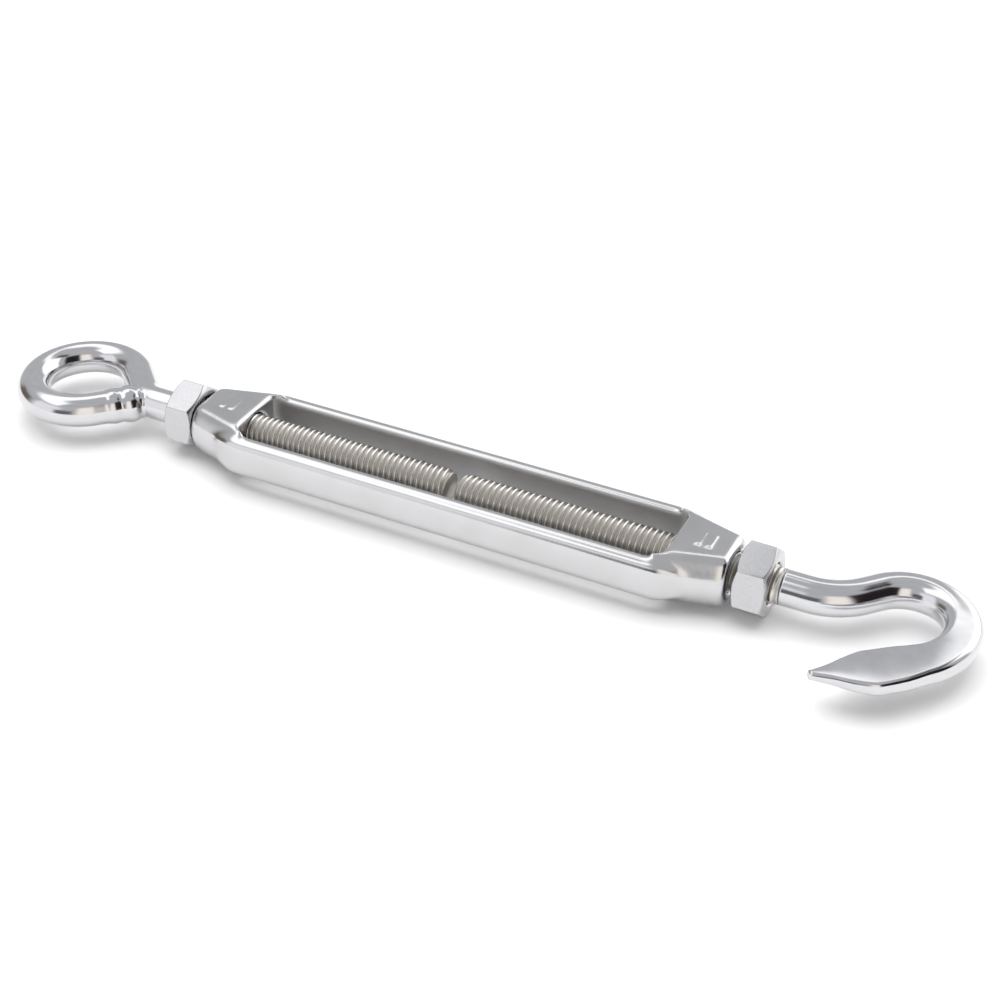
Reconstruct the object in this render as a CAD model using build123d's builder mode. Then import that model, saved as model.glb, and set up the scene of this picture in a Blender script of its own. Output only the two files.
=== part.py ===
from build123d import *
from math import cos, radians, sin, sqrt, tan
import os

# Open-frame turnbuckle, M8: a cast frame turns on a right-hand eye bolt and a left-hand hook bolt.
# The load line is X, from the centre of the eye towards the hook. The frame, the eye and the hook
# lie flat in XY, and +Z is square to them.
os.makedirs("parts", exist_ok=True)

# Driving dimensions, in millimetres and degrees
THREAD_DIA = 8.0
EYE_THREAD_LENGTH = 64.6
HOOK_THREAD_LENGTH = 67.5
THREAD_END_CHAMFER = 0.8
BAR_DIA = 7.1
BORE_DIA = 8.3
OVERLAP = 1.0

NUT_ACROSS_FLATS = 13.0
NUT_HEIGHT = 6.5
NUT_CHAMFER_ANGLE = 30.0
NUT_MOUTH_DIA = 9.0
NUT_CLEARANCE = 0.1
HOOK_NUT_GAP = 1.1
EYE_NUT_TURN = -7.0
HOOK_NUT_TURN = -11.0

FRAME_CENTRE_X = 90.9
FRAME_LENGTH = 118.8
WINDOW_LENGTH = 94.0
WINDOW_WIDTH = 15.4
WINDOW_CORNER = 2.0
WINDOW_LIP = 0.4
RAIL_OUTER_Y = 11.1
RAIL_HEIGHT = 8.8
RAIL_EDGE_ROUND = 2.1
RAIL_TAPER_LENGTH = 7.0
RAIL_END_Y = 8.2
RAIL_END_HEIGHT = 3.6
RAIL_SHOULDER_ROUND = 6.0
BOSS_DIA = 13.8
BOSS_END_ROUND = 1.5
BOSS_FLAT_Z = 5.6
BOSS_ROOT_WIDTH = 21.8
BOSS_ROOT_HEIGHT = 17.0
MARK_HEIGHT = 0.2
MARK_LENGTH = 4.2
MARK_WIDTH = 1.1
MARK_PITCH = 2.2
MARK_X = 53.0

EYE_RING_RADIUS = 11.4
EYE_LEG_ANGLE = 45.0
EYE_BEND_RADIUS = 6.0
WELD_OVERLAP = 1.2
WELD_DIA = 8.4
WELD_LENGTH = 2.4
WELD_STATION = 5.4
WELD_ROUND = 1.0
ROD_GAP = 2.4

HOOK_X = 183.3
HOOK_RADIUS = 9.8
HOOK_LEG_ANGLE = 46.9
HOOK_BEND_RADIUS = 12.9
HOOK_LOWER_RADIUS = 11.7
# The hook is forged flat from round bar as it goes round, and its tail ends in a leaf.
# Each station has its place, then the section's width, thickness, corner share and outward shift.
# Bowl and lower stations are degrees from the load line, tail stations are millimetres along it.
BOWL_STATIONS = (
    (90, 7.1, 7.1, 0.49, 0),
    (60, 7.1, 6.9, 0.48, 0),
    (30, 7.0, 6.0, 0.44, 0),
    (0, 7.0, 4.8, 0.38, 0),
)
LOWER_STATIONS = ((-26, 7.3, 4.0, 0.36, 0.35), (-52.6, 8.2, 3.6, 0.34, 0.8))
TAIL_STATIONS = (
    (5.5, 9.6, 3.3, 0.34, 1.2),
    (10.2, 9.9, 3.0, 0.34, 1.35),
    (14.0, 7.6, 2.7, 0.34, 1.1),
    (17.8, 3.9, 2.3, 0.34, 0.55),
    (21.1, 1.6, 1.9, 0.4, 0),
)

# Sizes that follow from them
frame_left = FRAME_CENTRE_X - FRAME_LENGTH / 2
frame_right = FRAME_CENTRE_X + FRAME_LENGTH / 2
eye_rod_end = FRAME_CENTRE_X - ROD_GAP / 2
hook_rod_end = FRAME_CENTRE_X + ROD_GAP / 2
window_end = WINDOW_LENGTH / 2


# Frame: one casting, two bosses joined by two rails, with a window between them.
rail_end = window_end + RAIL_TAPER_LENGTH
with BuildPart() as rails:
    with BuildSketch():
        with Locations((FRAME_CENTRE_X, 0)):
            Polygon(
                (-rail_end, -RAIL_END_Y),
                (-window_end, -RAIL_OUTER_Y),
                (window_end, -RAIL_OUTER_Y),
                (rail_end, -RAIL_END_Y),
                (rail_end, RAIL_END_Y),
                (window_end, RAIL_OUTER_Y),
                (-window_end, RAIL_OUTER_Y),
                (-rail_end, RAIL_END_Y),
            )
    extrude(amount=RAIL_HEIGHT / 2, both=True)
    fillet(rails.edges().filter_by(Axis.Z), radius=RAIL_SHOULDER_ROUND)
    fillet(rails.faces().filter_by(Axis.Z).edges(), radius=RAIL_EDGE_ROUND)
    # Seen from the side, each rail thins towards its end, where it dies into the boss.
    with BuildSketch(Plane.XZ):
        with Locations((FRAME_CENTRE_X, 0)):
            Polygon(
                (-rail_end, -RAIL_END_HEIGHT / 2),
                (-window_end, -RAIL_HEIGHT / 2),
                (window_end, -RAIL_HEIGHT / 2),
                (rail_end, -RAIL_END_HEIGHT / 2),
                (rail_end, RAIL_END_HEIGHT / 2),
                (window_end, RAIL_HEIGHT / 2),
                (-window_end, RAIL_HEIGHT / 2),
                (-rail_end, RAIL_END_HEIGHT / 2),
            )
    extrude(amount=RAIL_OUTER_Y, both=True, mode=Mode.INTERSECT)

with BuildPart() as frame:
    for side in (-1, 1):
        boss_face = Plane.YZ.offset(FRAME_CENTRE_X + side * FRAME_LENGTH / 2)
        boss_root = Plane.YZ.offset(FRAME_CENTRE_X + side * (window_end - WINDOW_CORNER))
        with BuildSketch(boss_face):
            Circle(BOSS_DIA / 2)
        with BuildSketch(boss_root):
            Ellipse(BOSS_ROOT_WIDTH / 2, BOSS_ROOT_HEIGHT / 2)
        loft()
    with Locations((FRAME_CENTRE_X, 0, 0)):
        Box(FRAME_LENGTH, 2 * RAIL_OUTER_Y, 2 * BOSS_FLAT_Z, mode=Mode.INTERSECT)
    ends = frame.faces().filter_by(Axis.X).group_by(Axis.X)
    fillet(ends[0].edges() + ends[-1].edges(), radius=BOSS_END_ROUND)
    add(rails.part)
    # A plain raised bar pair on top of each boss stands for the foundry's raised characters.
    with BuildSketch(Plane.XY.offset(BOSS_FLAT_Z)):
        with Locations((FRAME_CENTRE_X - MARK_X, 0), (FRAME_CENTRE_X + MARK_X, 0)):
            with GridLocations(MARK_PITCH, 0, 2, 1):
                SlotOverall(MARK_LENGTH, MARK_WIDTH, rotation=90)
    extrude(amount=MARK_HEIGHT)
    with BuildSketch():
        with Locations((FRAME_CENTRE_X, 0)):
            RectangleRounded(WINDOW_LENGTH, WINDOW_WIDTH, WINDOW_CORNER)
    extrude(amount=BOSS_ROOT_HEIGHT, both=True, mode=Mode.SUBTRACT)
    inside_lip = frame.edges().filter_by(
        lambda edge: abs(abs(edge.center().Z) - BOSS_FLAT_Z) < WINDOW_LIP / 2
        and abs(abs(edge.center().X - FRAME_CENTRE_X) - window_end) < WINDOW_CORNER
    )
    fillet(inside_lip, radius=WINDOW_LIP)
    with BuildSketch(Plane.YZ):
        Circle(BORE_DIA / 2)
    extrude(amount=frame_right + OVERLAP, mode=Mode.SUBTRACT)
frame.part.label = "frame"
export_step(frame.part, "parts/frame.step")


# Lock nuts: plain hexagon nuts, chamfered on both faces. The eye-side nut bears on the frame.
nut_blank_radius = NUT_ACROSS_FLATS / sqrt(3)
chamfer_depth = (nut_blank_radius - NUT_ACROSS_FLATS / 2) * tan(radians(NUT_CHAMFER_ANGLE))
with BuildPart() as nut:
    with BuildSketch(Plane.YZ):
        RegularPolygon(NUT_ACROSS_FLATS / 2, 6, major_radius=False, rotation=30)
    extrude(amount=NUT_HEIGHT)
    with BuildSketch(Plane.XZ):
        with BuildLine():
            Polyline(
                (0, 0),
                (0, NUT_ACROSS_FLATS / 2),
                (chamfer_depth, nut_blank_radius),
                (NUT_HEIGHT - chamfer_depth, nut_blank_radius),
                (NUT_HEIGHT, NUT_ACROSS_FLATS / 2),
                (NUT_HEIGHT, 0),
                close=True,
            )
        make_face()
    revolve(axis=Axis.X, mode=Mode.INTERSECT)
    with BuildSketch(Plane.YZ):
        Circle(BORE_DIA / 2)
    extrude(amount=NUT_HEIGHT, mode=Mode.SUBTRACT)
    mouths = nut.edges().filter_by(GeomType.CIRCLE).filter_by(lambda edge: edge.radius < NUT_MOUTH_DIA / 2)
    chamfer(mouths, length=(NUT_MOUTH_DIA - BORE_DIA) / 2)

with BuildPart() as eye_nut:
    with Locations(Location((frame_left - NUT_CLEARANCE - NUT_HEIGHT, 0, 0), (EYE_NUT_TURN, 0, 0))):
        add(nut.part)
eye_nut.part.label = "eye_lock_nut"
export_step(eye_nut.part, "parts/eye_lock_nut.step")

with BuildPart() as hook_nut:
    with Locations(Location((frame_right + HOOK_NUT_GAP, 0, 0), (HOOK_NUT_TURN, 0, 0))):
        add(nut.part)
hook_nut.part.label = "hook_lock_nut"
export_step(hook_nut.part, "parts/hook_lock_nut.step")


# Eye bolt: a round bar bent into a teardrop eye, its end welded back to the shank.
eye_angle = radians(EYE_LEG_ANGLE)
bend_rise = EYE_BEND_RADIUS * (1 - cos(eye_angle))
far_leg = (EYE_RING_RADIUS * cos(eye_angle) - bend_rise) / sin(eye_angle)
near_leg = EYE_RING_RADIUS * cos(eye_angle) / sin(eye_angle) - WELD_OVERLAP
bend_x = (EYE_RING_RADIUS + EYE_BEND_RADIUS) * sin(eye_angle) + far_leg * cos(eye_angle)
eye_thread_root = eye_rod_end - EYE_THREAD_LENGTH
with BuildPart() as eye_bolt:
    with BuildLine() as eye_path:
        shank = Line((eye_thread_root + OVERLAP, 0), (bend_x, 0))
        bend = JernArc(shank @ 1, shank % 1, EYE_BEND_RADIUS, -EYE_LEG_ANGLE)
        leg_out = PolarLine(bend @ 1, far_leg, direction=bend % 1)
        ring = JernArc(leg_out @ 1, leg_out % 1, EYE_RING_RADIUS, 180 + 2 * EYE_LEG_ANGLE)
        leg_back = PolarLine(ring @ 1, near_leg, direction=ring % 1)
    with BuildSketch(Plane(origin=shank @ 0, z_dir=shank % 0)):
        Circle(BAR_DIA / 2)
    sweep()
    with BuildSketch(Plane.YZ.offset(eye_thread_root)):
        Circle(THREAD_DIA / 2)
    extrude(amount=EYE_THREAD_LENGTH)
    chamfer(eye_bolt.faces().sort_by(Axis.X)[-1].edges(), length=THREAD_END_CHAMFER)
eye_bolt.part.label = "eye_bolt"
export_step(eye_bolt.part, "parts/eye_bolt.step")

# Weld bead: filler round the end of the bar where it meets the shank.
with BuildPart() as weld_bead:
    weld_at = leg_back @ 1 - (leg_back % 1) * WELD_STATION
    with BuildSketch(Plane(origin=weld_at, z_dir=leg_back % 1)):
        Circle(WELD_DIA / 2)
    extrude(amount=WELD_LENGTH)
    fillet(weld_bead.edges(), radius=WELD_ROUND)
    add(eye_bolt.part, mode=Mode.SUBTRACT)
weld_bead.part.label = "eye_weld_bead"
export_step(weld_bead.part, "parts/eye_weld_bead.step")


# Hook bolt: the round bar bends aside, then round the bowl, and is forged flat into the tail.
hook_angle = radians(HOOK_LEG_ANGLE)
hook_rise = HOOK_BEND_RADIUS * (1 - cos(hook_angle))
hook_leg = (HOOK_RADIUS * cos(hook_angle) - hook_rise) / sin(hook_angle)
hook_bend_x = HOOK_X - (HOOK_RADIUS + HOOK_BEND_RADIUS) * sin(hook_angle) - hook_leg * cos(hook_angle)


def flat_section(plane, width, thickness, corner_share, shift):
    """A rounded section of the forged part of the hook, its width in the hook's plane."""
    with BuildSketch(plane) as section:
        with Locations((shift, 0)):
            RectangleRounded(width, thickness, corner_share * min(width, thickness))
    return section.sketch.face()


def round_plane(centre_x, radius, angle):
    """The plane square to an arc about (centre_x, 0) at an angle, with x pointing outward."""
    outward = Vector(cos(radians(angle)), sin(radians(angle)), 0)
    onward = Vector(sin(radians(angle)), -cos(radians(angle)), 0)
    return Plane(origin=Vector(centre_x, 0, 0) + outward * radius, x_dir=outward, z_dir=onward)


lower_centre_x = HOOK_X + HOOK_RADIUS - HOOK_LOWER_RADIUS
sections = [flat_section(round_plane(HOOK_X, HOOK_RADIUS, place), *size) for place, *size in BOWL_STATIONS]
sections += [
    flat_section(round_plane(lower_centre_x, HOOK_LOWER_RADIUS, place), *size)
    for place, *size in LOWER_STATIONS
]
tail_start = round_plane(lower_centre_x, HOOK_LOWER_RADIUS, LOWER_STATIONS[-1][0])
sections += [flat_section(tail_start.offset(place), *size) for place, *size in TAIL_STATIONS]

with BuildPart() as hook_bolt:
    with BuildLine() as hook_path:
        hook_shank = Line((hook_rod_end + HOOK_THREAD_LENGTH - OVERLAP, 0), (hook_bend_x, 0))
        hook_bend = JernArc(hook_shank @ 1, hook_shank % 1, HOOK_BEND_RADIUS, HOOK_LEG_ANGLE)
        hook_out = PolarLine(hook_bend @ 1, hook_leg, direction=hook_bend % 1)
        JernArc(hook_out @ 1, hook_out % 1, HOOK_RADIUS, -HOOK_LEG_ANGLE)
    with BuildSketch(Plane(origin=hook_shank @ 0, z_dir=hook_shank % 0)):
        Circle(BAR_DIA / 2)
    sweep()
    loft(sections)
    with BuildSketch(Plane.YZ.offset(hook_rod_end)):
        Circle(THREAD_DIA / 2)
    extrude(amount=HOOK_THREAD_LENGTH)
    chamfer(hook_bolt.faces().sort_by(Axis.X)[0].edges(), length=THREAD_END_CHAMFER)
hook_bolt.part.label = "hook_bolt"
export_step(hook_bolt.part, "parts/hook_bolt.step")
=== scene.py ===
# %% [markdown]
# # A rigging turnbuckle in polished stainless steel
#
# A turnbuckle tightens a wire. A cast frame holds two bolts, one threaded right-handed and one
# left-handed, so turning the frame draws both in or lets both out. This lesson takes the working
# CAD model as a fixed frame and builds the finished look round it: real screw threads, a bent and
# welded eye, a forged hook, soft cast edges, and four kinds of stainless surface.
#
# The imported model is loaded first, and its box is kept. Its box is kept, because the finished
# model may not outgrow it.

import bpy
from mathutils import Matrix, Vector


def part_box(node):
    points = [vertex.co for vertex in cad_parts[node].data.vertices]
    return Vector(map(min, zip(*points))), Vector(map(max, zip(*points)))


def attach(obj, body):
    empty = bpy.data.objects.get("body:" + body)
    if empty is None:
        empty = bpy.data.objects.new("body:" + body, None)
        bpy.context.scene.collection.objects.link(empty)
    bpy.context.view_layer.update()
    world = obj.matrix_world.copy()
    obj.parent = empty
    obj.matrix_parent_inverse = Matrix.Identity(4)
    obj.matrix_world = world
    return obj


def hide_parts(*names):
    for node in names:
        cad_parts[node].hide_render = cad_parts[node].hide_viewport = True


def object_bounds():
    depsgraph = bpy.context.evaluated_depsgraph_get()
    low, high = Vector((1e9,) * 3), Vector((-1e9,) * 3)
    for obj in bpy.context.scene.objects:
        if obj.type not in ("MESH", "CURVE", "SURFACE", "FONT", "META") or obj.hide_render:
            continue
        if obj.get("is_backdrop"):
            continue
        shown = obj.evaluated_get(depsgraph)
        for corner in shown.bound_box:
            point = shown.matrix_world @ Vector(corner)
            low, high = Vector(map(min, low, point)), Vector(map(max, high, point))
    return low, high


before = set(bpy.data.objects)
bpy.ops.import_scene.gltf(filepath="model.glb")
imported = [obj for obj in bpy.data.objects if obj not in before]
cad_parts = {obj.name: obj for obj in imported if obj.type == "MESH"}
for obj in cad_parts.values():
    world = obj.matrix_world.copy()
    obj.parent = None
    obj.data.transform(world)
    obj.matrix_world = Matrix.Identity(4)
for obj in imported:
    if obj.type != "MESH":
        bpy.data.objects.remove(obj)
cad_low, cad_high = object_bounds()
print("CAD box in millimetres:", [round(1000 * side, 1) for side in cad_high - cad_low])

# %% [markdown]
# ## The tools used all through
#
# Lengths are written in millimetres, as on a drawing, and turned to Blender's metres only when a
# vertex is made. The load line is the X axis, and the eye's centre is the origin.

# %% Imports and the unit
from math import cos, floor, pi, radians, sin, sqrt, tan

import bmesh
import bpy
from mathutils import Matrix, Vector
from mathutils.kdtree import KDTree

MM = 0.001


def box_mm(node):
    """The lowest and highest corner of a CAD node, in millimetres."""
    low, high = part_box(node)
    return low / MM, high / MM


# %% [markdown]
# A node tree reads best when each node is one statement: its kind, its settings and what feeds
# it. One small function does this for every kind of node. Colours are written as the hex values
# that a paint chart would give, and one function turns them to the linear light that shaders use.

# %% One function for colours and one for nodes
def linear(hex_colour):
    """Linear red, green, blue and alpha of an sRGB hex colour such as "#C8C6C2"."""
    channels = [int(hex_colour[place : place + 2], 16) / 255 for place in (1, 3, 5)]
    return [c / 12.92 if c <= 0.04045 else ((c + 0.055) / 1.055) ** 2.4 for c in channels] + [1.0]


def add_node(tree, kind, settings=None, links=None):
    """Adds a node, sets its properties or unlinked sockets, and links sockets to their sources."""
    node = tree.nodes.new(kind)
    for name, value in (settings or {}).items():
        if hasattr(node, str(name)):
            setattr(node, name, value)
        else:
            node.inputs[name].default_value = value
    for name, source in (links or {}).items():
        tree.links.new(source, node.inputs[name])
    return node


print("mid grey #808080 is", round(linear("#808080")[0], 3), "in linear light")

# %% [markdown]
# ## The camera
#
# A small fitting shows best from above and a little to the right of square on, from far enough
# away that the hook and the eye stay in proportion. The camera stands on a ray from the middle of
# the load line, given by an azimuth and an elevation, and its lens is a little longer than normal.
# The slight roll is the tilt of a tripod levelled by hand.

# %% Camera
CAMERA_AZIMUTH = 25.75
CAMERA_ELEVATION = 34.88
CAMERA_ROLL = 0.86
CAMERA_DISTANCE = 347.1
CAMERA_AIM = Vector((100.73, 0.01, 0.88))
LENS = 63.1
SENSOR = 36.0
NEAREST_SEEN = 10

azimuth, elevation = radians(CAMERA_AZIMUTH), radians(CAMERA_ELEVATION)
camera_back = Vector(
    (sin(azimuth) * cos(elevation), -cos(azimuth) * cos(elevation), sin(elevation))
)
camera_data = bpy.data.cameras.new("studio_camera")
camera_data.lens = LENS
camera_data.sensor_width = SENSOR
camera_data.clip_start = NEAREST_SEEN * MM
camera = bpy.data.objects.new("studio_camera", camera_data)
bpy.context.scene.collection.objects.link(camera)
level = (-camera_back).to_track_quat("-Z", "Y").to_matrix()
camera.rotation_euler = (level @ Matrix.Rotation(radians(CAMERA_ROLL), 3, "Z")).to_euler()
camera.location = (CAMERA_AIM + camera_back * CAMERA_DISTANCE) * MM
bpy.context.scene.camera = camera
print("camera stands at", [round(c / MM, 1) for c in camera.location])

# %% [markdown]
# ## The studio
#
# Polished steel has almost no colour of its own, so what surrounds it makes the picture. The white
# table gives the light undersides. The rest is a grey room with cards stood round the object: white
# cards give the bright streaks, a grey one behind gives the calm tops, and black and brown ones
# draw the dark lines that make metal look like metal. Real cards would show in other views, so the
# room is painted on the far surround instead, each card as a soft-edged patch of sky.

# %% Surround
ROOM_COLOUR = "#CCCDCF"
# Each card: azimuth and elevation of its middle, half its width, half its height and the width of
# its soft edge, all in degrees, then its colour and its brightness. Azimuth 0 is -Y and 90 is +X.
CARDS = {
    "white card overhead left": (-88, 58, 62, 12, 10, "#FCFCFD", 1.75),
    "white card high behind": (-168, 50, 16, 5, 4, "#FCFCFD", 1.6),
    "white card in front, left": (-35, 18, 24, 22, 12, "#F4F4F6", 1.25),
    "grey card in front": (-4, 8, 15, 15, 8, "#6E7074", 1.0),
    "warm card in front, right": (33, 20, 15, 26, 12, "#FFF6EE", 1.3),
    "black card on the right": (75, 16, 23, 34, 10, "#2A2526", 1.0),
    "black card behind, right": (122, 58, 26, 5, 8, "#3A3436", 1.0),
    "white card behind, right": (150, 28, 30, 24, 10, "#FFFFFF", 1.9),
    "brown card on the left": (-84, 8, 16, 16, 14, "#7A7066", 1.0),
}

world = bpy.data.worlds.new("studio_surround")
bpy.context.scene.world = world
world.use_nodes = True
tree = world.node_tree
tree.nodes.clear()
way = add_node(tree, "ShaderNodeTexCoord").outputs["Generated"]
parts = add_node(tree, "ShaderNodeSeparateXYZ", None, {0: way}).outputs
height = add_node(tree, "ShaderNodeMath", {"operation": "ARCSINE"}, {0: parts["Z"]}).outputs["Value"]
backward = add_node(tree, "ShaderNodeMath", {"operation": "MULTIPLY", 1: -1.0}, {0: parts["Y"]})
bearing = add_node(
    tree, "ShaderNodeMath", {"operation": "ARCTAN2"}, {0: parts["X"], 1: backward.outputs["Value"]}
).outputs["Value"]


def within(tree, value, middle, half, soft):
    """1 where an angle in radians is within half of middle, falling to 0 over soft, in degrees."""
    offset = add_node(
        tree, "ShaderNodeMath", {"operation": "SUBTRACT", 1: radians(middle)}, {0: value}
    )
    distance = add_node(
        tree, "ShaderNodeMath", {"operation": "PINGPONG", 1: pi}, {0: offset.outputs["Value"]}
    )
    return add_node(
        tree,
        "ShaderNodeMapRange",
        {
            "interpolation_type": "SMOOTHSTEP",
            "From Min": radians(half + soft / 2),
            "From Max": radians(half - soft / 2),
        },
        {"Value": distance.outputs["Value"]},
    ).outputs["Result"]


painted = add_node(tree, "ShaderNodeRGB").outputs["Color"]
painted.default_value = linear(ROOM_COLOUR)
for card_azimuth, card_height, half_width, half_height, soft, colour, brightness in CARDS.values():
    mask = add_node(
        tree,
        "ShaderNodeMath",
        {"operation": "MULTIPLY"},
        {
            0: within(tree, bearing, card_azimuth, half_width, soft),
            1: within(tree, height, card_height, half_height, soft),
        },
    )
    card = [channel * brightness for channel in linear(colour)]
    painted = add_node(
        tree,
        "ShaderNodeMix",
        {"data_type": "RGBA", 7: card},
        {0: mask.outputs["Value"], 6: painted},
    ).outputs[2]
surround = add_node(tree, "ShaderNodeBackground", None, {"Color": painted})
add_node(tree, "ShaderNodeOutputWorld", None, {"Surface": surround.outputs["Background"]})
print(len(CARDS), "cards stand round the table")

# %% [markdown]
# The table is matt white paint on a flat board, just under the lowest corner of the nuts. A plain
# white backdrop closes the view beyond it. Only the camera sees the backdrop, and the steel still
# sees the cards. Both are scenery, made by one function and marked as backdrop so that they are
# left out of the measured box.

# %% Table and backdrop
TABLE_SIDE = 4000
TABLE_GAP = 0.02
TABLE_PAINT = {"Base Color": linear("#F4F4F4"), "Roughness": 0.9, "Specular IOR Level": 0.1}
BACKDROP_RADIUS = 1900
BACKDROP_COLUMNS = 48
BACKDROP_PAINT = {
    "Base Color": linear("#000000"),
    "Emission Color": linear("#FFFFFF"),
    "Emission Strength": 1.0,
}


def scenery(name, bm, paint_name, paint):
    """An object made from a bmesh in metres, painted with the given shader inputs."""
    mesh = bpy.data.meshes.new(name)
    bm.to_mesh(mesh)
    bm.free()
    made = bpy.data.objects.new(name, mesh)
    bpy.context.scene.collection.objects.link(made)
    material = bpy.data.materials.new(paint_name)
    material.use_nodes = True
    for socket, value in paint.items():
        material.node_tree.nodes["Principled BSDF"].inputs[socket].default_value = value
    mesh.materials.append(material)
    return made


middle = (cad_low + cad_high) / 2
board = bmesh.new()
bmesh.ops.create_grid(board, x_segments=1, y_segments=1, size=TABLE_SIDE / 2 * MM)
table = scenery("table", board, "matt_white_table_paint", TABLE_PAINT)
table.location = (middle.x, middle.y, cad_low.z - TABLE_GAP * MM)
table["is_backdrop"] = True

sphere = bmesh.new()
bmesh.ops.create_uvsphere(
    sphere,
    u_segments=BACKDROP_COLUMNS,
    v_segments=BACKDROP_COLUMNS // 2,
    radius=BACKDROP_RADIUS * MM,
)
backdrop = scenery("backdrop", sphere, "lit_white_backdrop", BACKDROP_PAINT)
backdrop.location = middle
backdrop.visible_glossy = False
backdrop.visible_diffuse = False
backdrop.visible_shadow = False
backdrop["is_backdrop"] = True
print("the table's top is at", round(table.location.z / MM, 2), "mm")

# %% [markdown]
# A wide soft light from above brings the table up to white. It is kept out of the reflections, as
# a flag keeps a lamp off polished metal, so that it adds no bright patch to the steel.

# %% Soft light
SOFT_LIGHT_SIDE = 900
SOFT_LIGHT_HEIGHT = 1000
SOFT_LIGHT_WATTS = 7.0

lamp_data = bpy.data.lights.new("soft_light", "AREA")
lamp_data.size = SOFT_LIGHT_SIDE * MM
lamp_data.energy = SOFT_LIGHT_WATTS
lamp = bpy.data.objects.new("soft_light", lamp_data)
bpy.context.scene.collection.objects.link(lamp)
lamp.location = (middle.x, middle.y, SOFT_LIGHT_HEIGHT * MM)
lamp.visible_glossy = False
bpy.context.scene.view_settings.view_transform = "Standard"
print("the soft light hangs", SOFT_LIGHT_HEIGHT, "mm up")

# %% [markdown]
# ## Stainless steel, four ways
#
# Every piece is the same alloy, 18/8 stainless steel, a slightly warm white metal. What differs is
# how each surface was made. All four start as the same metal, with the place on the surface in
# millimetres. Each then varies its tint, its roughness and its bump as its own process does, and
# the thread's tint also carries painted shade in its roots and a painted highlight on its crests.

# %% The shared start of each steel
def steel(name):
    """A new metal material, its tree and shader, and the place on the surface in millimetres."""
    material = bpy.data.materials.new(name)
    material.use_nodes = True
    tree = material.node_tree
    shader = tree.nodes["Principled BSDF"]
    shader.inputs["Metallic"].default_value = 1.0
    object_place = add_node(tree, "ShaderNodeTexCoord").outputs["Object"]
    to_mm = add_node(
        tree, "ShaderNodeVectorMath", {"operation": "SCALE", "Scale": 1 / MM}, {0: object_place}
    )
    return material, tree, shader, to_mm.outputs["Vector"]


# %% [markdown]
# **Electropolished investment casting** is the frame. The wax pattern leaves a faint orange peel
# about 0.6 mm across, and the acid bath smooths it to a bright skin with slow changes of sheen.
# Linishing on a belt leaves fine lines along the rails. The belt can't reach into the window, so
# the walls there keep the duller skin of the casting.

# %% Cast stainless
WINDOW_LENGTH = 94.0
WINDOW_WIDTH = 15.4
# The duller skin reaches this far behind the rails' inner faces, and stops this short of the bosses.
WINDOW_WALL = 0.25
WINDOW_ROUGHNESS = 0.42
CAST_TINTS = "#C3C3C3", "#D3D3D5"
CAST_ROUGHNESS = 0.1, 0.2
CAST_CLOUD = 7.0
CAST_PEEL = 0.6
CAST_PEEL_DEPTH = 0.02
BELT_LINE_LENGTH = 14.0
BELT_LINE_WIDTH = 0.35
BELT_LINE_DEPTH = 0.012

frame_low, frame_high = box_mm("frame")
window_x = (frame_low.x + frame_high.x) / 2


def band(tree, place, axis, middle, half):
    """1 where one coordinate of the place lies within half of middle, and 0 beyond."""
    coordinate = add_node(tree, "ShaderNodeSeparateXYZ", None, {0: place}).outputs[axis]
    offset = add_node(tree, "ShaderNodeMath", {"operation": "SUBTRACT", 1: middle}, {0: coordinate})
    distance = add_node(tree, "ShaderNodeMath", {"operation": "ABSOLUTE"}, {0: offset.outputs["Value"]})
    near = {"operation": "LESS_THAN", 1: half}
    return add_node(tree, "ShaderNodeMath", near, {0: distance.outputs["Value"]}).outputs["Value"]


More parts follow.
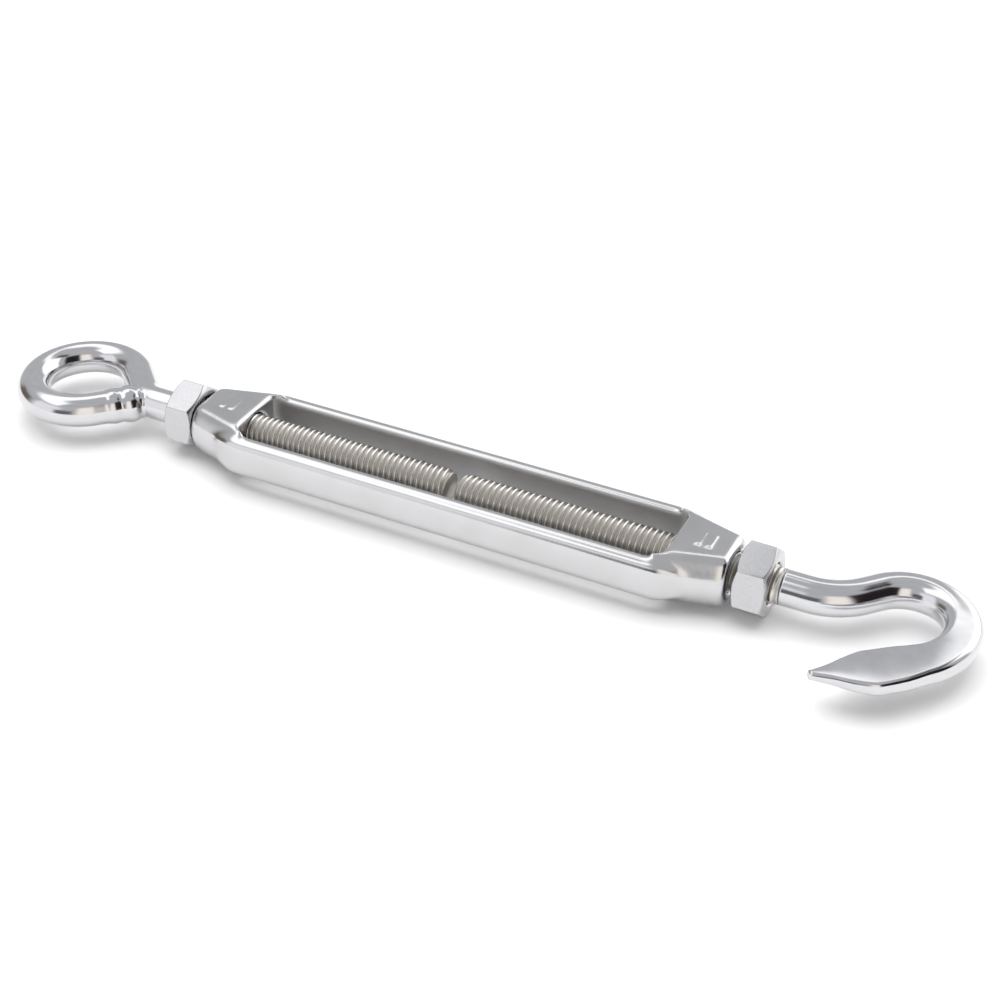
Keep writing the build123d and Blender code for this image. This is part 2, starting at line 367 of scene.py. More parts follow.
def cast_stainless():
    """Investment-cast steel, electropolished: bright, with a faint orange peel and belt lines."""
    material, tree, shader, place = steel("electropolished_cast_stainless")
    cloud = add_node(
        tree, "ShaderNodeTexNoise", {"Scale": 1 / CAST_CLOUD, "Detail": 3.0}, {"Vector": place}
    )
    tint = add_node(
        tree,
        "ShaderNodeMix",
        {"data_type": "RGBA", 6: linear(CAST_TINTS[0]), 7: linear(CAST_TINTS[1])},
        {0: cloud.outputs["Fac"]},
    )
    tree.links.new(tint.outputs[2], shader.inputs["Base Color"])
    sheen = add_node(
        tree,
        "ShaderNodeMapRange",
        {"To Min": CAST_ROUGHNESS[0], "To Max": CAST_ROUGHNESS[1]},
        {"Value": cloud.outputs["Fac"]},
    )
    inside = add_node(
        tree,
        "ShaderNodeMath",
        {"operation": "MULTIPLY"},
        {
            0: band(tree, place, "X", window_x, WINDOW_LENGTH / 2 - WINDOW_WALL),
            1: band(tree, place, "Y", 0, WINDOW_WIDTH / 2 + WINDOW_WALL),
        },
    )
    roughness = add_node(
        tree,
        "ShaderNodeMix",
        {"data_type": "FLOAT", 3: WINDOW_ROUGHNESS},
        {0: inside.outputs["Value"], 2: sheen.outputs["Result"]},
    )
    tree.links.new(roughness.outputs[0], shader.inputs["Roughness"])
    peel = add_node(
        tree, "ShaderNodeTexNoise", {"Scale": 1 / CAST_PEEL, "Detail": 2.0}, {"Vector": place}
    )
    belt_scale = (1 / BELT_LINE_LENGTH, 1 / BELT_LINE_WIDTH, 1 / BELT_LINE_WIDTH)
    along_belt = add_node(
        tree, "ShaderNodeVectorMath", {"operation": "MULTIPLY", 1: belt_scale}, {0: place}
    )
    lines = add_node(
        tree,
        "ShaderNodeTexNoise",
        {"Scale": 1.0, "Detail": 2.0},
        {"Vector": along_belt.outputs["Vector"]},
    )
    peel_bump = add_node(
        tree,
        "ShaderNodeBump",
        {"Strength": 0.35, "Distance": CAST_PEEL_DEPTH * MM},
        {"Height": peel.outputs["Fac"]},
    )
    line_bump = add_node(
        tree,
        "ShaderNodeBump",
        {"Strength": 0.5, "Distance": BELT_LINE_DEPTH * MM},
        {"Height": lines.outputs["Fac"], "Normal": peel_bump.outputs["Normal"]},
    )
    tree.links.new(line_bump.outputs["Normal"], shader.inputs["Normal"])
    return material


cast_steel = cast_stainless()
print(cast_steel.name, "has", len(cast_steel.node_tree.nodes), "nodes")

# %% [markdown]
# **Buffed round bar** is the eye and the hook. Drawn bar is bent or forged, then buffed on a cloth
# wheel, so it is the brightest surface here. Only hairlines and a slow waviness break the mirror.

# %% Polished stainless
BAR_TINTS = "#C9C9CB", "#D9D9DB"
BAR_ROUGHNESS = 0.08, 0.17
BAR_WAVE = 5.0
HAIRLINE_LENGTH = 3.0
HAIRLINE_WIDTH = 0.25
HAIRLINE_DEPTH = 0.012


def polished_stainless():
    """Drawn bar buffed on a cloth wheel: a near mirror with hairlines and slow waves."""
    material, tree, shader, place = steel("buffed_stainless_bar")
    wave = add_node(
        tree, "ShaderNodeTexNoise", {"Scale": 1 / BAR_WAVE, "Detail": 2.0}, {"Vector": place}
    )
    sheen = add_node(
        tree,
        "ShaderNodeMapRange",
        {"To Min": BAR_ROUGHNESS[0], "To Max": BAR_ROUGHNESS[1]},
        {"Value": wave.outputs["Fac"]},
    )
    tree.links.new(sheen.outputs["Result"], shader.inputs["Roughness"])
    buffing_scale = (1 / HAIRLINE_LENGTH, 1 / HAIRLINE_LENGTH, 1 / HAIRLINE_WIDTH)
    along_wheel = add_node(
        tree, "ShaderNodeVectorMath", {"operation": "MULTIPLY", 1: buffing_scale}, {0: place}
    )
    hairs = add_node(
        tree,
        "ShaderNodeTexNoise",
        {"Scale": 1.0, "Detail": 3.0},
        {"Vector": along_wheel.outputs["Vector"]},
    )
    tint = add_node(
        tree,
        "ShaderNodeMix",
        {"data_type": "RGBA", 6: linear(BAR_TINTS[0]), 7: linear(BAR_TINTS[1])},
        {0: hairs.outputs["Fac"]},
    )
    tree.links.new(tint.outputs[2], shader.inputs["Base Color"])
    bump = add_node(
        tree,
        "ShaderNodeBump",
        {"Strength": 0.35, "Distance": HAIRLINE_DEPTH * MM},
        {"Height": hairs.outputs["Fac"]},
    )
    tree.links.new(bump.outputs["Normal"], shader.inputs["Normal"])
    return material


bar_steel = polished_stainless()
print(bar_steel.name, "has", len(bar_steel.node_tree.nodes), "nodes")

# %% [markdown]
# ** Rolled thread** was pressed between dies, and the crests are burnished smooth. The colour is
# painted darker and warmer in the roots as painted shade, and lighter on the crests as a painted
# highlight. How far a point lies from the rod's axis says which it is.

# %% Rolled thread
THREAD_DIA = 8.0
THREAD_PITCH = 1.25
THREAD_DEPTH_PER_PITCH = 0.6134
THREAD_DEPTH = THREAD_DEPTH_PER_PITCH * THREAD_PITCH
# Root and crest colours: the root colour is painted shade, and the crest colour is a painted highlight.
THREAD_SHADE_AND_HIGHLIGHT_TINTS = "#BDB9B2", "#E2E0DC"
THREAD_ROUGHNESS = 0.45, 0.2
# A speckle noise makes the edge of the painted shade uneven and gives the thread a faint bump.
THREAD_SPECKLE = 0.8
SHADE_EDGE_WANDER = 0.5
THREAD_SPECKLE_DEPTH = 0.02
ACROSS_THE_ROD = (0, 1, 1)


def rolled_thread():
    """Rolled thread: burnished crests, painted shade in the roots and a painted highlight on the
    crests.
    """
    material, tree, shader, place = steel("rolled_stainless_thread")
    across = add_node(
        tree, "ShaderNodeVectorMath", {"operation": "MULTIPLY", 1: ACROSS_THE_ROD}, {0: place}
    )
    off_axis = add_node(
        tree, "ShaderNodeVectorMath", {"operation": "LENGTH"}, {0: across.outputs["Vector"]}
    )
    speckle = add_node(
        tree, "ShaderNodeTexNoise", {"Scale": 1 / THREAD_SPECKLE, "Detail": 4.0}, {"Vector": place}
    )
    wander = add_node(
        tree,
        "ShaderNodeMath",
        {"operation": "MULTIPLY_ADD", 1: SHADE_EDGE_WANDER, 2: -SHADE_EDGE_WANDER / 2},
        {0: speckle.outputs["Fac"]},
    )
    height = add_node(
        tree,
        "ShaderNodeMapRange",
        {"From Min": THREAD_DIA / 2 - THREAD_DEPTH, "From Max": THREAD_DIA / 2},
        {"Value": off_axis.outputs["Value"]},
    )
    uneven = add_node(
        tree,
        "ShaderNodeMath",
        {"operation": "ADD", "use_clamp": True},
        {0: height.outputs["Result"], 1: wander.outputs["Value"]},
    )
    # The tint is painted shade in the roots and a painted highlight on the crests.
    tint = add_node(
        tree,
        "ShaderNodeMix",
        {"data_type": "RGBA", 6: linear(THREAD_SHADE_AND_HIGHLIGHT_TINTS[0]), 7: linear(THREAD_SHADE_AND_HIGHLIGHT_TINTS[1])},
        {0: uneven.outputs["Value"]},
    )
    tree.links.new(tint.outputs[2], shader.inputs["Base Color"])
    sheen = add_node(
        tree,
        "ShaderNodeMapRange",
        {"To Min": THREAD_ROUGHNESS[0], "To Max": THREAD_ROUGHNESS[1]},
        {"Value": uneven.outputs["Value"]},
    )
    tree.links.new(sheen.outputs["Result"], shader.inputs["Roughness"])
    bump = add_node(
        tree,
        "ShaderNodeBump",
        {"Strength": 0.4, "Distance": THREAD_SPECKLE_DEPTH * MM},
        {"Height": speckle.outputs["Fac"]},
    )
    tree.links.new(bump.outputs["Normal"], shader.inputs["Normal"])
    return material


thread_steel = rolled_thread()
print(thread_steel.name, "has", len(thread_steel.node_tree.nodes), "nodes")

# %% [markdown]
# **Turned and tumbled nut stock.** The end faces are faced on a lathe, which leaves rings about
# 0.1 mm apart, drawn at 0.3 mm here so that they show. Tumbling with ceramic chips then dulls the
# flats to an even satin with small random nicks.

# %% Satin nut steel
NUT_TINTS = "#B9B9BB", "#CDCDCF"
NUT_ROUGHNESS = 0.2, 0.32
NUT_SATIN = 3.0
RING_PITCH = 0.3
RING_DEPTH = 0.01
NICK_SIZE = 0.35
NICK_DEPTH = 0.015
END_FACE_NORMAL = 0.95


def nut_stainless():
    """Hexagon bar turned and tumbled: satin flats with fine nicks, ringed end faces."""
    material, tree, shader, place = steel("tumbled_stainless_nut")
    across = add_node(
        tree, "ShaderNodeVectorMath", {"operation": "MULTIPLY", 1: ACROSS_THE_ROD}, {0: place}
    )
    off_axis = add_node(
        tree, "ShaderNodeVectorMath", {"operation": "LENGTH"}, {0: across.outputs["Vector"]}
    )
    ring_turn = add_node(
        tree,
        "ShaderNodeMath",
        {"operation": "MULTIPLY", 1: 2 * pi / RING_PITCH},
        {0: off_axis.outputs["Value"]},
    )
    rings = add_node(
        tree, "ShaderNodeMath", {"operation": "SINE"}, {0: ring_turn.outputs["Value"]}
    )
    normal = add_node(tree, "ShaderNodeTexCoord").outputs["Normal"]
    along_axis = add_node(tree, "ShaderNodeSeparateXYZ", None, {0: normal}).outputs["X"]
    either_way = add_node(tree, "ShaderNodeMath", {"operation": "ABSOLUTE"}, {0: along_axis})
    on_end = add_node(
        tree,
        "ShaderNodeMath",
        {"operation": "GREATER_THAN", 1: END_FACE_NORMAL},
        {0: either_way.outputs["Value"]},
    )
    end_rings = add_node(
        tree,
        "ShaderNodeMath",
        {"operation": "MULTIPLY"},
        {0: rings.outputs["Value"], 1: on_end.outputs["Value"]},
    )
    nicks = add_node(
        tree, "ShaderNodeTexNoise", {"Scale": 1 / NICK_SIZE, "Detail": 3.0}, {"Vector": place}
    )
    satin = add_node(
        tree, "ShaderNodeTexNoise", {"Scale": 1 / NUT_SATIN, "Detail": 2.0}, {"Vector": place}
    )
    sheen = add_node(
        tree,
        "ShaderNodeMapRange",
        {"To Min": NUT_ROUGHNESS[0], "To Max": NUT_ROUGHNESS[1]},
        {"Value": satin.outputs["Fac"]},
    )
    tree.links.new(sheen.outputs["Result"], shader.inputs["Roughness"])
    tint = add_node(
        tree,
        "ShaderNodeMix",
        {"data_type": "RGBA", 6: linear(NUT_TINTS[0]), 7: linear(NUT_TINTS[1])},
        {0: nicks.outputs["Fac"]},
    )
    tree.links.new(tint.outputs[2], shader.inputs["Base Color"])
    ring_bump = add_node(
        tree,
        "ShaderNodeBump",
        {"Strength": 0.15, "Distance": RING_DEPTH * MM},
        {"Height": end_rings.outputs["Value"]},
    )
    nick_bump = add_node(
        tree,
        "ShaderNodeBump",
        {"Strength": 0.4, "Distance": NICK_DEPTH * MM},
        {"Height": nicks.outputs["Fac"], "Normal": ring_bump.outputs["Normal"]},
    )
    tree.links.new(nick_bump.outputs["Normal"], shader.inputs["Normal"])
    return material


nut_steel = nut_stainless()
print(nut_steel.name, "has", len(nut_steel.node_tree.nodes), "nodes")

# %% [markdown]
# ## From a bmesh to a piece
#
# Each piece is made in millimetres, scaled once, shaded smooth and set to ride on a CAD body, so
# that it moves with the joints. It also hides the CAD nodes that it stands for.

# %% Finishing a piece
def finish_piece(name, bm, material, body, nodes):
    """Makes an object from a bmesh in millimetres, ties it to a CAD body and hides its CAD nodes."""
    bmesh.ops.recalc_face_normals(bm, faces=bm.faces)
    bmesh.ops.scale(bm, vec=(MM, MM, MM), verts=bm.verts)
    mesh = bpy.data.meshes.new(name)
    bm.to_mesh(mesh)
    bm.free()
    mesh.polygons.foreach_set("use_smooth", [True] * len(mesh.polygons))
    mesh.materials.append(material)
    piece = bpy.data.objects.new(name, mesh)
    bpy.context.scene.collection.objects.link(piece)
    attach(piece, body)
    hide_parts(*nodes)
    print(name, "has", len(mesh.polygons), "faces")
    return piece


# %% [markdown]
# ## The screw threads
#
# An M8 thread has a pitch of 1.25 mm and flanks at 60 degrees. A bump map can't make its zigzag
# outline, and rings stacked along the rod would not be a helix. So the mesh is wound: every row of
# vertices follows the helix, and at the seam a row joins the row one pitch further on. The ends
# are cut square with a plane, and a cone trims the free end to the usual chamfer. At the other end
# the thread runs out into the bar.

# %% Cutting and chamfering a rod
THREAD_CHAMFER = 0.8
CUT_TOLERANCE = 0.01
MERGE_DISTANCE = 1e-4


def cut_square(bm, cut_x, outward):
    """Cuts a rod off square at cut_x and closes it; outward is the side cut away, 1 or -1."""
    bmesh.ops.bisect_plane(
        bm,
        geom=bm.verts[:] + bm.edges[:] + bm.faces[:],
        dist=MERGE_DISTANCE,
        plane_co=(cut_x, 0, 0),
        plane_no=(outward, 0, 0),
        clear_outer=True,
    )
    rim = [
        edge
        for edge in bm.edges
        if edge.is_boundary and abs(edge.verts[0].co.x - cut_x) < CUT_TOLERANCE
    ]
    bmesh.ops.contextual_create(bm, geom=rim)


def chamfer_end(bm, end_x):
    """Brings a rod's surface in to a 45 degree cone at its free end."""
    for vertex in bm.verts:
        cone = THREAD_DIA / 2 - THREAD_CHAMFER + abs(end_x - vertex.co.x)
        off_axis = sqrt(vertex.co.y**2 + vertex.co.z**2)
        if off_axis > cone:
            vertex.co.y *= cone / off_axis
            vertex.co.z *= cone / off_axis


# %% Winding a thread
THREAD_ROWS = 12
THREAD_COLUMNS = 64
THREAD_SPARE_TURNS = 1.5
RUN_OUT = 3.0
BAR_DIA = 7.1
# The flats of the crest and the root are shares of a pitch. The flank blends a straight slope with
# a rounded one, in this share of straight.
THREAD_CREST = 1 / 8
THREAD_ROOT = 1 / 5
FLANK_STRAIGHT = 0.6


def thread_depth(phase):
    """Depth below the crest, from 0 to 1, at a place counted in pitches."""
    from_crest = abs(phase - floor(phase + 0.5))
    flank = (from_crest - THREAD_CREST / 2) / (0.5 - THREAD_ROOT / 2 - THREAD_CREST / 2)
    flank = min(1.0, max(0.0, flank))
    rounded = flank * flank * (3 - 2 * flank)
    return FLANK_STRAIGHT * flank + (1 - FLANK_STRAIGHT) * rounded


def wound_thread(root_x, end_x, hand):
    """A bmesh of a threaded rod from the run-out at root_x to the free end; hand is 1 or -1."""
    low, high = min(root_x, end_x), max(root_x, end_x)
    turns = (high - low) / THREAD_PITCH + 2 * THREAD_SPARE_TURNS
    rows = int(turns * THREAD_ROWS)
    first = low - THREAD_SPARE_TURNS * THREAD_PITCH
    bm = bmesh.new()
    grid = []
    for row in range(rows):
        line = []
        for column in range(THREAD_COLUMNS):
            turn = column / THREAD_COLUMNS
            x = first + THREAD_PITCH * (row / THREAD_ROWS + hand * turn)
            whole = THREAD_DIA / 2 - THREAD_DEPTH * thread_depth(row / THREAD_ROWS)
            from_root = min(1.0, max(0.0, abs(x - root_x) / RUN_OUT))
            if (x - root_x) * (end_x - root_x) < 0:
                from_root = 0.0
            radius = BAR_DIA / 2 + (whole - BAR_DIA / 2) * from_root
            line.append(bm.verts.new((x, radius * cos(2 * pi * turn), radius * sin(2 * pi * turn))))
        grid.append(line)
    for row in range(rows - 1):
        for column in range(THREAD_COLUMNS):
            onward = (column + 1) % THREAD_COLUMNS
            step = hand * THREAD_ROWS if onward == 0 else 0
            if 0 <= row + step and row + step + 1 < rows:
                bm.faces.new(
                    (
                        grid[row][column],
                        grid[row + step][onward],
                        grid[row + step + 1][onward],
                        grid[row + 1][column],
                    )
                )
    cut_square(bm, low, -1)
    cut_square(bm, high, 1)
    chamfer_end(bm, end_x)
    return bm


# %% The two threads
EYE_THREAD_LENGTH = 64.6
HOOK_THREAD_LENGTH = 67.5

eye_thread_end = box_mm("eye_bolt")[1].x
hook_thread_end = box_mm("hook_bolt")[0].x
eye_thread_root = eye_thread_end - EYE_THREAD_LENGTH
hook_thread_root = hook_thread_end + HOOK_THREAD_LENGTH
finish_piece(
    "eye_bolt_thread",
    wound_thread(eye_thread_root, eye_thread_end, 1),
    thread_steel,
    "eye_bolt",
    ["eye_bolt"],
)
finish_piece(
    "hook_bolt_thread",
    wound_thread(hook_thread_root, hook_thread_end, -1),
    thread_steel,
    "hook_bolt",
    ["hook_bolt"],
)

# %% [markdown]
# ## Bending bar
#
# Both bolts are bent from straight bar, and a smith thinks of a bend as a walk: straight on so
# far, then round this radius through that angle. The walk below does the same and leaves a station
# every half millimetre. A skin is then laid over the stations, ring by ring.

# %% Walking along a bent bar
STATION_STEP = 0.5


class Walk:
    """A path in the XY plane made of straight runs and bends, as a list of stations."""

    def __init__(self, x, y, heading):
        self.at = Vector((x, y, 0))
        self.heading = radians(heading)
        self.length = 0.0
        self.stations = [(self.length, self.at.copy(), self.heading)]

    def advance(self, length, turn):
        """Moves on by a length while the heading turns evenly through an angle in radians."""
        steps = max(1, round(length / STATION_STEP))
        for _ in range(steps):
            half = turn / steps / 2
            chord = length / steps if turn == 0 else length / steps * sin(half) / half
            self.heading += half
            self.at = self.at + chord * Vector((cos(self.heading), sin(self.heading), 0))
            self.heading += half
            self.length += length / steps
            self.stations.append((self.length, self.at.copy(), self.heading))
        return self

    def straight(self, length):
        """Goes straight on."""
        return self.advance(length, 0)

    def bend(self, radius, angle):
        """Goes round a radius through an angle in degrees, to the left where it is positive."""
        return self.advance(radius * radians(abs(angle)), radians(angle))


quarter_bend = Walk(0, 0, 0).bend(10, 90)
print("a quarter bend of radius 10 mm takes", round(quarter_bend.length, 1), "mm of bar")

# %% Laying a skin over the walk
RING_POINTS = 72


def skin(stations, section, side):
    """A closed bmesh over stations; section(length) gives points across and up, side is 1 or -1."""
    bm = bmesh.new()
    rings = []
    for length, at, heading in stations:
        across = side * Vector((-sin(heading), cos(heading), 0))
        rings.append([bm.verts.new(at + across * a + Vector((0, 0, b))) for a, b in section(length)])
    for ring, following in zip(rings, rings[1:]):
        for number in range(len(ring)):
            onward = (number + 1) % len(ring)
            bm.faces.new((ring[number], ring[onward], following[onward], following[number]))
    bm.faces.new(rings[0])
    bm.faces.new(rings[-1])
    bmesh.ops.recalc_face_normals(bm, faces=bm.faces)
    return bm


def round_section(length):
    """The points of a plain round bar's section, the same at every length."""
    turns = [2 * pi * number / RING_POINTS for number in range(RING_POINTS)]
    return [(BAR_DIA / 2 * cos(turn), BAR_DIA / 2 * sin(turn)) for turn in turns]


print("a ring of the round bar has", len(round_section(0)), "points")

# %% [markdown]
# ## The eye
#
# The bar leaves the thread, bends 45 degrees to one side, goes three quarters of the way round the
# ring and comes back at 45 degrees, where it is welded to its own shank and the weld is dressed.
# The walk makes the bar. The weld is two balls of filler pushed into the joint. One new skin over
# all of it joins bar and filler the way melted metal does, and away from the weld each vertex is
# put back on the true round bar, so that the mirror stays clean.

# %% A new skin over joined shapes
SMOOTHING = 0.5


def remeshed(bm, voxel, passes):
    """A bmesh in millimetres skinned afresh with square faces of one size, then smoothed."""
    mesh = bpy.data.meshes.new("skin")
    bm.to_mesh(mesh)
    bm.free()
    body = bpy.data.objects.new("skin", mesh)
    bpy.context.scene.collection.objects.link(body)
    skin = body.modifiers.new("skin", "REMESH")
    skin.mode = "VOXEL"
    skin.voxel_size = voxel
    done = bpy.data.meshes.new_from_object(
        body.evaluated_get(bpy.context.evaluated_depsgraph_get())
    )
    bpy.data.objects.remove(body)
    made = bmesh.new()
    made.from_mesh(done)
    bpy.data.meshes.remove(mesh)
    bpy.data.meshes.remove(done)
    for _ in range(passes):
        bmesh.ops.smooth_vert(
            made,
            verts=made.verts,
            factor=SMOOTHING,
            use_axis_x=True,
            use_axis_y=True,
            use_axis_z=True,
        )
    return made


# %% The bar of the eye
EYE_RING_RADIUS = 11.4
EYE_LEG_ANGLE = 45.0
EYE_BEND_RADIUS = 6.0
WELD_OVERLAP = 1.2

leg = radians(EYE_LEG_ANGLE)
far_leg = (EYE_RING_RADIUS * cos(leg) - EYE_BEND_RADIUS * (1 - cos(leg))) / sin(leg)
near_leg = EYE_RING_RADIUS / tan(leg) - WELD_OVERLAP
bend_x = (EYE_RING_RADIUS + EYE_BEND_RADIUS) * sin(leg) + far_leg * cos(leg)
eye_walk = Walk(eye_thread_root, 0, 180).straight(eye_thread_root - bend_x)
eye_walk.bend(EYE_BEND_RADIUS, -EYE_LEG_ANGLE).straight(far_leg)
eye_walk.bend(EYE_RING_RADIUS, 180 + 2 * EYE_LEG_ANGLE).straight(near_leg)
eye = skin(eye_walk.stations, round_section, -1)
print("bar in the eye:", round(eye_walk.length, 1), "mm")

# %% Filler in the joint
# Each ball of filler: how far along the bar from its cut end, how far to its left, and its radius.
WELD_BALLS = (
    (-6.1, 0.0, 3.88),
    (-2.7, -0.1, 4.02),
)
BALL_SUBDIVISIONS = 4
EYE_VOXEL = 0.22
WELD_PASSES = 4

bar_end = eye_walk.at
leg_way = Vector((cos(eye_walk.heading), sin(eye_walk.heading), 0))
leg_side = Vector((-leg_way.y, leg_way.x, 0))
for along, aside, radius in WELD_BALLS:
    centre = bar_end + leg_way * along + leg_side * aside
    bmesh.ops.create_icosphere(
        eye, subdivisions=BALL_SUBDIVISIONS, radius=radius, matrix=Matrix.Translation(centre)
    )
eye = remeshed(eye, EYE_VOXEL, WELD_PASSES)
print("the skin over bar and filler has", len(eye.verts), "vertices")

# %% True bar away from the weld
# The weld's middle is this far back from the bar's cut end. Beyond the reach the surface goes back
# to the true bar, over the length of the blend, where it lies no further than this from it.
WELD_CENTRE = -4.0
WELD_REACH = 5.4
WELD_BLEND = 2.4
TRUE_BAR_REACH = 0.5

stations = KDTree(len(eye_walk.stations))
for number, (_, at, _) in enumerate(eye_walk.stations):
    stations.insert(at, number)
stations.balance()
weld_centre = bar_end + leg_way * WELD_CENTRE
for vertex in eye.verts:
    clear = ((vertex.co - weld_centre).length - WELD_REACH) / WELD_BLEND
    clear = min(1.0, max(0.0, clear))
    near, number, _ = stations.find(vertex.co)
    heading = eye_walk.stations[number][2]
    onward = Vector((cos(heading), sin(heading), 0))
    offset = vertex.co - near
    along = onward * offset.dot(onward)
    ray = offset - along
    if abs(ray.length - BAR_DIA / 2) < TRUE_BAR_REACH:
        true = near + along + ray.normalized() * (BAR_DIA / 2)
        vertex.co = vertex.co.lerp(true, clear)
finish_piece(
    "eye_bar_with_weld",
    eye,
    bar_steel,
    "eye_bolt",
    ["eye_bolt", "eye_weld_bead"],
)

# %% [markdown]
# ## The hook
#
# The hook starts as the same round bar. It bends aside, then as it goes round the bowl the hammer
# flattens it more and more, and the tail spreads into a leaf with a blunt point. Each section is a
# box with rounded corners, and it is a full circle where the corners take half of each side. A
# smooth curve runs through the sizes at the smith's stations, so the forging shows no joints.

# %% The forging's sections
# Each station: millimetres from the top of the bowl, width, thickness, corner share and shift.
FORGED_STATIONS = (
    (-2.0, 7.1, 7.1, 0.5, 0.0),
    (5.1, 7.1, 6.95, 0.49, 0.0),
    (10.3, 7.1, 6.3, 0.44, 0.05),
    (15.4, 7.1, 5.3, 0.36, 0.1),
    (20.7, 7.3, 4.4, 0.32, 0.35),
    (26.1, 8.2, 3.6, 0.3, 0.8),
    (31.6, 9.6, 3.2, 0.3, 1.2),
    (36.3, 9.9, 2.9, 0.3, 1.35),
    (40.1, 7.6, 2.6, 0.32, 1.1),
    (43.9, 3.9, 2.2, 0.36, 0.55),
    (47.2, 1.5, 1.8, 0.45, 0.0),
)
CORNER_POINTS = 18


def eased(places, values, at):
    """The value at a place, on a smooth curve through the stations that never overshoots them."""
    rises = [(b - a) / (q - p) for p, q, a, b in zip(places, places[1:], values, values[1:])]
    slopes = [0.0]
    for left, right in zip(rises, rises[1:]):
        slopes.append(2 * left * right / (left + right) if left * right > 0 else 0.0)
    slopes.append(rises[-1])
    at = min(max(at, places[0]), places[-1])
    gap = max(number for number in range(len(rises)) if places[number] <= at)
    length = places[gap + 1] - places[gap]
    share = (at - places[gap]) / length
    ahead = share * share * (3 - 2 * share)
    lean_out = share * (1 - share) ** 2 * length * slopes[gap]
    lean_in = share * share * (share - 1) * length * slopes[gap + 1]
    return values[gap] + (values[gap + 1] - values[gap]) * ahead + lean_out + lean_in


def forged_section(length):
    """Points across and up round the forging at a length from the top of the bowl."""
    places = [station[0] for station in FORGED_STATIONS]
    sizes = list(zip(*FORGED_STATIONS))[1:]
    width, thickness, corner_share, shift = [eased(places, values, length) for values in sizes]
    corner = corner_share * min(width, thickness)
    points = []
    for quarter in range(4):
        side_across = 1 if quarter in (0, 3) else -1
        side_up = 1 if quarter in (0, 1) else -1
        for number in range(CORNER_POINTS):
            turn = pi / 2 * (quarter + (number + 0.5) / CORNER_POINTS)
            across = side_across * (width / 2 - corner) + corner * cos(turn)
            up = side_up * (thickness / 2 - corner) + corner * sin(turn)
            points.append((across + shift, up))
    return points


print("the forging runs through", len(FORGED_STATIONS), "stations")

# %% Hook
HOOK_X = 183.3
HOOK_RADIUS = 9.8
HOOK_LEG_ANGLE = 46.9
HOOK_BEND_RADIUS = 12.9
HOOK_LOWER_RADIUS = 11.7
HOOK_LOWER_ANGLE = 52.6
TAIL_LENGTH = 21.1

leg = radians(HOOK_LEG_ANGLE)
hook_leg = (HOOK_RADIUS * cos(leg) - HOOK_BEND_RADIUS * (1 - cos(leg))) / sin(leg)
hook_bend_x = HOOK_X - (HOOK_RADIUS + HOOK_BEND_RADIUS) * sin(leg) - hook_leg * cos(leg)
hook_walk = Walk(hook_thread_root, 0, 0).straight(hook_bend_x - hook_thread_root)
hook_walk.bend(HOOK_BEND_RADIUS, HOOK_LEG_ANGLE).straight(hook_leg)
hook_walk.bend(HOOK_RADIUS, -HOOK_LEG_ANGLE)
bowl_top = hook_walk.length
hook_walk.bend(HOOK_RADIUS, -90).bend(HOOK_LOWER_RADIUS, -HOOK_LOWER_ANGLE).straight(TAIL_LENGTH)
print("bar in the hook:", round(hook_walk.length, 1), "mm")

hook = skin(hook_walk.stations, lambda length: forged_section(length - bowl_top), 1)
finish_piece("forged_hook", hook, bar_steel, "hook_bolt", ["hook_bolt"])

# %% [markdown]
# ## The frame
#
# The frame is one investment casting. Its CAD solid has the right bosses, rails and window, but
# its edges are cut sharp, and no casting has a sharp edge. A voxel skin with a face every 0.3 mm,
# smoothed over and over, rounds every edge by about a millimetre, as wax and ceramic do. It is
# quicker and more even than bevelling edges that run into each other. It also melts away the two
# plain bars raised on each boss, so they are lifted again afterwards.

# %% Cast frame
FRAME_VOXEL = 0.3
FRAME_PASSES = 28

casting = bmesh.new()
casting.from_mesh(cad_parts["frame"].data)
bmesh.ops.scale(casting, vec=(1 / MM, 1 / MM, 1 / MM), verts=casting.verts)
bmesh.ops.remove_doubles(casting, verts=casting.verts, dist=MERGE_DISTANCE)
casting = remeshed(casting, FRAME_VOXEL, FRAME_PASSES)
print("the frame's skin has", len(casting.verts), "vertices")

# %% Raised bars
# Each boss has a pair of bars, centred this far from the middle of the window. Only the top faces,
# above the lowest height, are lifted, and a bar rises over the width of its flank.
MARK_X = 53.0
MARK_PITCH = 2.2
MARK_LENGTH = 4.2
MARK_WIDTH = 1.1
MARK_FLANK = 0.5
MARK_LOWEST = 5.2

for vertex in casting.verts:
    if vertex.co.z > MARK_LOWEST:
        from_pair = abs(abs(vertex.co.x - window_x) - MARK_X)
        from_bar = abs(from_pair - MARK_PITCH / 2)
        inside_bar = min(MARK_WIDTH / 2 - from_bar, MARK_LENGTH / 2 - abs(vertex.co.y))
        raised = min(1.0, max(0.0, inside_bar / MARK_FLANK + 0.5))
        vertex.co.z += (frame_high.z - vertex.co.z) * raised
finish_piece("cast_frame", casting, cast_steel, "frame", ["frame"])

# %% [markdown]
# ## The lock nuts
#
# A nut starts as hexagon bar. Both faces are turned to a 30 degree chamfer, which cuts the six
# flats in curved lines. Each column of the mesh below runs from the bore, over the face, down the
# chamfer and along a flat, and its chamfer corner is worked out where cone and flat really meet,
# so those curves come out true. A small bevel then rounds the edges as tumbling does.

# %% The mesh of a nut
NUT_ACROSS_FLATS = 13.0
NUT_BORE = 8.3
NUT_MOUTH = 9.0
NUT_FACE_DIA = 12.4
NUT_CHAMFER_ANGLE = 30.0
NUT_COLUMNS = 96
NUT_EDGE_ROUND = 0.18
NUT_EDGE_SEGMENTS = 3
NUT_SHARP_ANGLE = 18.0


def hexagon_radius(turn):
    """Distance from the axis to a flat of the hexagon, at an angle from the middle of a flat."""
    return NUT_ACROSS_FLATS / 2 / cos((turn + pi / 6) % (pi / 3) - pi / 6)


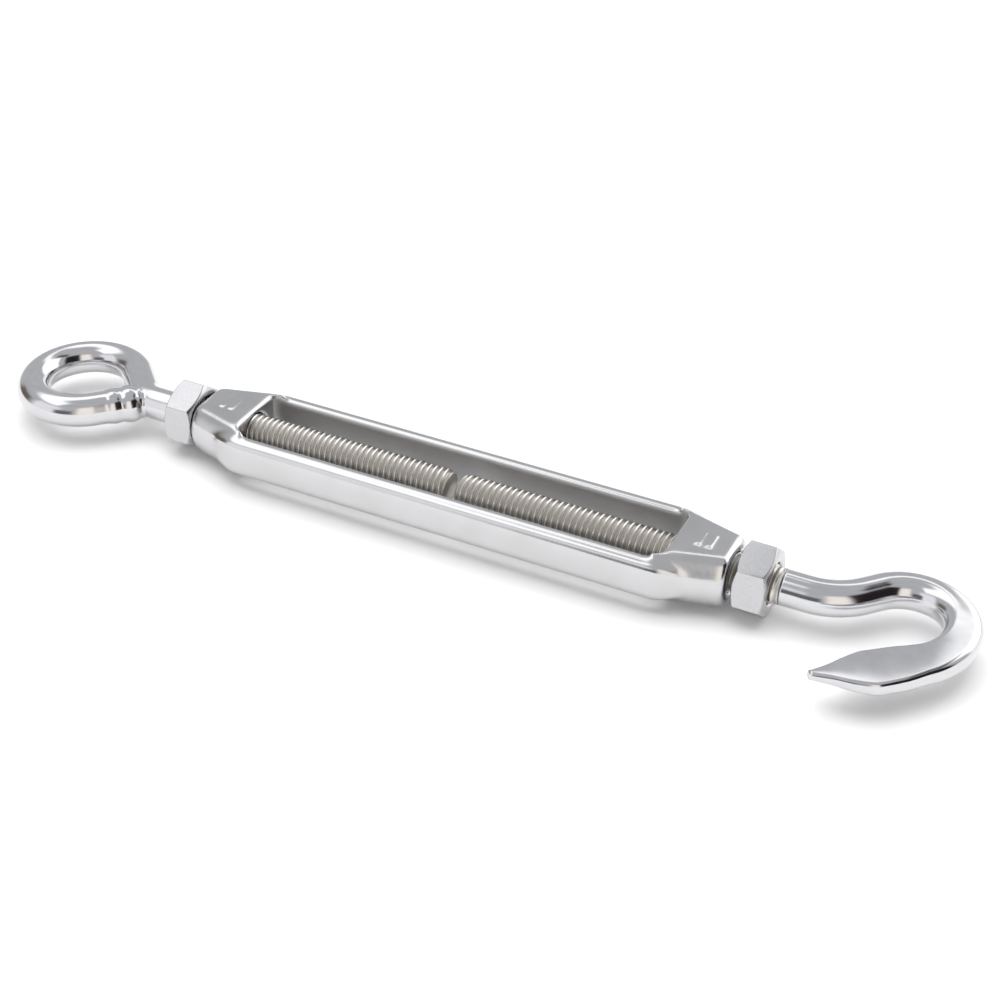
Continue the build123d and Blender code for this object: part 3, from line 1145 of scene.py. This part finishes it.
def nut_mesh(low_x, high_x, twist):
    """A hexagon nut between two planes, turned by an angle in degrees about the X axis."""
    bm = bmesh.new()
    columns = []
    slope = tan(radians(NUT_CHAMFER_ANGLE))
    mouth_depth = (NUT_MOUTH - NUT_BORE) / 2
    for number in range(NUT_COLUMNS):
        turn = 2 * pi * number / NUT_COLUMNS
        reach = hexagon_radius(turn)
        drop = (reach - NUT_FACE_DIA / 2) * slope
        profile = (
            (low_x, NUT_MOUTH / 2),
            (low_x, NUT_FACE_DIA / 2),
            (low_x + drop, reach),
            (high_x - drop, reach),
            (high_x, NUT_FACE_DIA / 2),
            (high_x, NUT_MOUTH / 2),
            (high_x - mouth_depth, NUT_BORE / 2),
            (low_x + mouth_depth, NUT_BORE / 2),
        )
        where = turn + radians(twist)
        columns.append([bm.verts.new((x, r * cos(where), r * sin(where))) for x, r in profile])
    for number, column in enumerate(columns):
        onward = columns[(number + 1) % NUT_COLUMNS]
        for corner in range(len(column)):
            following = (corner + 1) % len(column)
            bm.faces.new((column[corner], column[following], onward[following], onward[corner]))
    bmesh.ops.recalc_face_normals(bm, faces=bm.faces)
    sharp = [edge for edge in bm.edges if edge.calc_face_angle(0) > radians(NUT_SHARP_ANGLE)]
    bmesh.ops.bevel(
        bm,
        geom=sharp,
        offset=NUT_EDGE_ROUND,
        segments=NUT_EDGE_SEGMENTS,
        profile=0.5,
        affect="EDGES",
        clamp_overlap=True,
    )
    return bm


# %% [markdown]
# The two nuts stopped at different turns when they were last tightened. A weighted normal keeps
# each flat looking flat right up to its rounded edges.

# %% The two nuts
NUT_TWISTS = {"eye_lock_nut": -7.0, "hook_lock_nut": -11.0}
for nut_name, twist in NUT_TWISTS.items():
    low, high = box_mm(nut_name)
    nut = nut_mesh(low.x, high.x, twist)
    piece = finish_piece(nut_name + "_finished", nut, nut_steel, nut_name, [nut_name])
    piece.modifiers.new("flat_faces", "WEIGHTED_NORMAL")
    print(nut_name, "is", round(high.x - low.x, 1), "mm high")

# %% [markdown]
# ## Sizes
#
# The box of the finished model is measured, in the same way as the CAD model's box. The
# finished model must fill the CAD model's box and no more.

# %% Measure the finished model
bpy.context.view_layer.update()
low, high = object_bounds()
